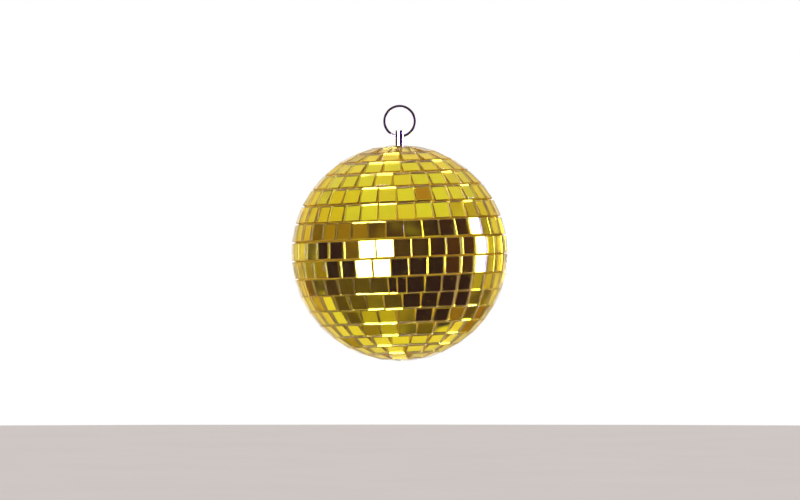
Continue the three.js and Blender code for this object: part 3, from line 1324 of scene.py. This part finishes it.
@dataclass
class CoreHardware:
    """The washers, the nut and the core's two shells: the CAD shapes with their sharp edges eased."""

    metal_ease: float = 0.12 * MM
    shell_ease: float = 0.3 * MM
    ease_segments: int = 2
    sharper_than: float = math.radians(35.0)
    crisp_angle: float = 40.0
    weld: float = 0.001 * MM
    flat_within: float = 0.001
    zinc: PlatedSteel = PlatedSteel(
        "zinc_plate", (0.72, 0.72, 0.70), (0.52, 0.52, 0.50), 0.22, 0.20, 0.000004
    )
    plastic: MouldedPlastic = MouldedPlastic()

    def _ease(self, name: str, width: float, material: bpy.types.Material) -> None:
        """Makes a piece from a CAD node, with its triangles joined into faces and its edges eased.

        Args:
            name: The CAD node.
            width: How wide an eased edge is.
            material: The finish.
        """

        def join(shape: bmesh.types.BMesh) -> None:
            """Joins a copy of the CAD triangles into faces."""
            shape.from_mesh(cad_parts[name].data)
            bmesh.ops.remove_doubles(shape, verts=shape.verts, dist=self.weld)
            bmesh.ops.dissolve_limit(
                shape, angle_limit=self.flat_within, verts=shape.verts, edges=shape.edges
            )

        mesh = mesh_from(join, f"{name}_eased")
        mesh.materials.append(material)
        piece = add_object(mesh.name, mesh)
        bevel = piece.modifiers.new("eased_edges", "BEVEL")
        bevel.width = width
        bevel.segments = self.ease_segments
        bevel.limit_method = "ANGLE"
        bevel.angle_limit = self.sharper_than
        bake_modifiers(piece)
        shade_by_angle(piece.data, self.crisp_angle)
        finish_piece(piece, Body.BALL, (name,))

    def build(self) -> None:
        """Builds and dresses the hardware and the core."""
        zinc = self.zinc.material()
        plastic = self.plastic.material()
        for name in ("spreader_washer", "lock_washer", "hex_nut"):
            self._ease(name, self.metal_ease, zinc)
        for name in ("upper_core_shell", "lower_core_shell"):
            self._ease(name, self.shell_ease, plastic)


# --------------------------------------------------------------------------------------------------
# Studio
# --------------------------------------------------------------------------------------------------


def towards(azimuth: float, elevation: float) -> Vector:
    """Returns the unit vector at an azimuth right of the front and an elevation, in degrees."""
    a, e = math.radians(azimuth), math.radians(elevation)
    return Vector((math.sin(a) * math.cos(e), -math.cos(a) * math.cos(e), math.sin(e)))


@dataclass(frozen=True)
class Wash:
    """A round, soft-edged patch of the room: where it is, how wide in degrees, and its colour."""

    azimuth: float
    elevation: float
    full: float
    fades: float
    colour: Colour


@dataclass(frozen=True)
class LightCard:
    """A soft box: a rectangle of even light that looks at the ball."""

    name: str
    azimuth: float
    elevation: float
    width: float
    height: float
    radiance: float
    colour: Colour
    distance: float = 1.6
    flagged_off: tuple[str, ...] = ()
    only_for: tuple[str, ...] = ()

    def _flag(self, lamp: bpy.types.Object) -> None:
        """Keeps the light off some pieces, or on some pieces only, as flags on stands would.

        Args:
            lamp: The light.
        """
        chosen = bpy.data.collections.new(f"{self.name}_pieces")
        for name in self.flagged_off + self.only_for:
            chosen.objects.link(bpy.data.objects[name])
        lamp.light_linking.receiver_collection = chosen
        for member in chosen.collection_objects:
            member.light_linking.link_state = "INCLUDE" if self.only_for else "EXCLUDE"

    def build(self, target: Vector) -> None:
        """Makes the light.

        Args:
            target: The point that it looks at.
        """
        data = bpy.data.lights.new(self.name, "AREA")
        data.shape = "RECTANGLE"
        data.size = self.width
        data.size_y = self.height
        data.color = self.colour
        data.energy = self.radiance * math.pi * self.width * self.height
        lamp = bpy.data.objects.new(self.name, data)
        direction = towards(self.azimuth, self.elevation)
        lamp.location = target + direction * self.distance
        lamp.rotation_euler = direction.to_track_quat("Z", "Y").to_euler()
        lamp.visible_camera = False
        lamp.visible_diffuse = False
        bpy.context.scene.collection.objects.link(lamp)
        if self.flagged_off or self.only_for:
            self._flag(lamp)


@dataclass
class Studio:
    """A white cove behind and above, a dim room in front, soft boxes, a pale floor and the camera."""

    ball_centre: Vector
    camera_distance: float = 2.56
    camera_side: float = 0.25 * MM
    camera_rise: float = 1.73 * MM
    lens: float = 200.0
    sensor_width: float = 36.0
    sight: float = 50.0
    floor_drop: float = 0.57
    floor_radius: float = 12.0
    floor_thickness: float = 0.02
    floor_segments: int = 96
    white: Colour = (1.0, 1.0, 1.0)
    cloud_scale: float = 3.2
    cloud_strength: Band = (0.85, 1.15)
    room: Colour = (0.022, 0.005, 0.060)
    washes: tuple[Wash, ...] = (
        Wash(10, 22, 11, 30, (0.080, 0.042, 0.07)),
        Wash(66, 2, 14, 30, (0.070, 0.022, 0.03)),
        Wash(-52, 25, 14, 28, (0.34, 0.20, 0.05)),
        Wash(-60, -55, 14, 42, (0.14, 0.095, 0.03)),
        Wash(-55, -75, 8, 27, (0.56, 0.47, 0.10)),
        Wash(180, 0, 49, 77, (0.92, 0.76, 0.40)),
        Wash(180, 0, 14, 26, (1.0, 1.0, 1.0)),
        Wash(0, 90, 52, 63, (0.86, 0.84, 0.90)),
        Wash(180, 46, 14, 30, (1.0, 0.84, 0.80)),
        Wash(-95, 36, 14, 19, (0.80, 0.66, 0.30)),
        Wash(180, -52, 33, 36.5, (1.0, 0.88, 0.50)),
        Wash(-113, -37, 10, 14, (1.0, 0.94, 0.60)),
        Wash(104, -21, 5, 13, (0.50, 0.40, 0.20)),
        Wash(107, -48, 4, 10, (0.32, 0.18, 0.05)),
        Wash(-128, -15, 8, 15, (0.20, 0.10, 0.05)),
        Wash(125, -29, 8, 15, (0.12, 0.07, 0.03)),
        Wash(97, 32, 8, 17, (0.60, 0.46, 0.30)),
        Wash(54, 61, 4, 8, (0.52, 0.28, 0.20)),
        Wash(-85, 19, 5, 8, (0.42, 0.26, 0.01)),
        Wash(-105, 16, 4, 8, (0.21, 0.12, 0.01)),
        Wash(-99, -9, 3.5, 7, (0.36, 0.24, 0.01)),
        Wash(-114, -66, 5, 9, (0.32, 0.22, 0.01)),
        Wash(107, -72, 4, 8, (0.19, 0.13, 0.01)),
        Wash(147, -28, 5.5, 9, (0.38, 0.17, 0.01)),
        Wash(-157, -34, 4, 8, (0.48, 0.33, 0.02)),
    )
    cards: tuple[LightCard, ...] = (
        LightCard(
            "front_lamp", -25.0, -5.0, 1.10, 0.72, 140.0, (0.14, 0.155, 1.0), flagged_off=(RING_PIECE,)
        ),
        LightCard(
            "right_strip", 96.0, 3.0, 0.60, 1.20, 62.0, (0.26, 0.28, 1.0), flagged_off=(RING_PIECE,)
        ),
        LightCard("ring_strip", 88.0, 3.0, 0.90, 1.20, 5.0, (0.80, 0.70, 1.0), only_for=(RING_PIECE,)),
        LightCard("ring_kicker", -23.0, 8.0, 0.50, 0.50, 2.2, (0.88, 0.78, 1.0), only_for=(RING_PIECE,)),
    )

    def build(self) -> None:
        """Builds the world, lights, floor and camera."""
        self._world()
        for card in self.cards:
            card.build(self.ball_centre)
        self._floor()
        self._camera()
        bpy.context.scene.view_settings.view_transform = "Standard"

    def _world(self) -> None:
        """Paints the room on the world: white to the camera, the real room to everything else."""
        world = bpy.data.worlds.new("studio_room")
        bpy.context.scene.world = world
        world.use_nodes = True
        tree = world.node_tree
        tree.nodes.clear()
        bench = Bench(tree)
        direction = bench.place("Generated")
        uneven = bench.between(bench.noise(direction, self.cloud_scale), *self.cloud_strength)
        colour: Any = self.room
        for wash in self.washes:
            axis = tuple(towards(wash.azimuth, wash.elevation))
            facing = bench.vector("DOT_PRODUCT", direction, axis).outputs["Value"]
            limits = (math.cos(math.radians(wash.fades)), math.cos(math.radians(wash.full)))
            colour = bench.mix(bench.ramp(facing, *limits), colour, wash.colour)
        room = bench.add("ShaderNodeBackground", {"Color": colour, "Strength": uneven}).outputs[0]
        white = bench.add("ShaderNodeBackground", {"Color": self.white, "Strength": 1.0}).outputs[0]
        seen = bench.add("ShaderNodeLightPath").outputs["Is Camera Ray"]
        mixed = bench.add("ShaderNodeMixShader", {0: seen, 1: room, 2: white})
        bench.add("ShaderNodeOutputWorld", {"Surface": mixed.outputs[0]})

    def _floor(self) -> None:
        """Makes the floor, a flat disc that only the camera and the bounced light see."""
        top = self.ball_centre.z - self.floor_drop
        bottom = top - self.floor_thickness
        profile = [(0.0, bottom), (self.floor_radius, bottom), (self.floor_radius, top), (0.0, top)]
        floor = add_object("studio_floor", turned_mesh("studio_floor", profile, self.floor_segments))
        floor.data.materials.append(FloorPaint().material())
        floor.visible_glossy = False
        floor.visible_transmission = False

    def _camera(self) -> None:
        """Makes the camera, level with the ball and far off."""
        data = bpy.data.cameras.new("studio_camera")
        data.sensor_width = self.sensor_width
        data.lens = self.lens
        data.clip_end = self.sight
        camera = bpy.data.objects.new("studio_camera", data)
        offset = Vector((self.camera_side, -self.camera_distance, self.camera_rise))
        camera.location = self.ball_centre + offset
        camera.rotation_euler = (math.pi / 2.0, 0.0, 0.0)
        bpy.context.scene.collection.objects.link(camera)
        bpy.context.scene.camera = camera


# --------------------------------------------------------------------------------------------------
# The whole ball
# --------------------------------------------------------------------------------------------------


def ball_centre() -> Vector:
    """Finds the ball's centre: one core radius above the core's lowest point."""
    low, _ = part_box("lower_core_shell")
    left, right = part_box("upper_core_shell")
    return Vector((0.0, 0.0, low.z + (right.x - left.x) / 2.0))


def main() -> None:
    """Builds the mirror ball's looks round the frame."""
    logging.basicConfig(level=logging.INFO, format="%(name)s: %(message)s")
    centre = ball_centre()
    SplitRing().build()
    HangerPost().build()
    CoreHardware().build()
    MirrorSkin(Tiling(centre=centre.z)).build()
    Studio(ball_centre=centre).build()


if __name__ == "__main__":
    main()
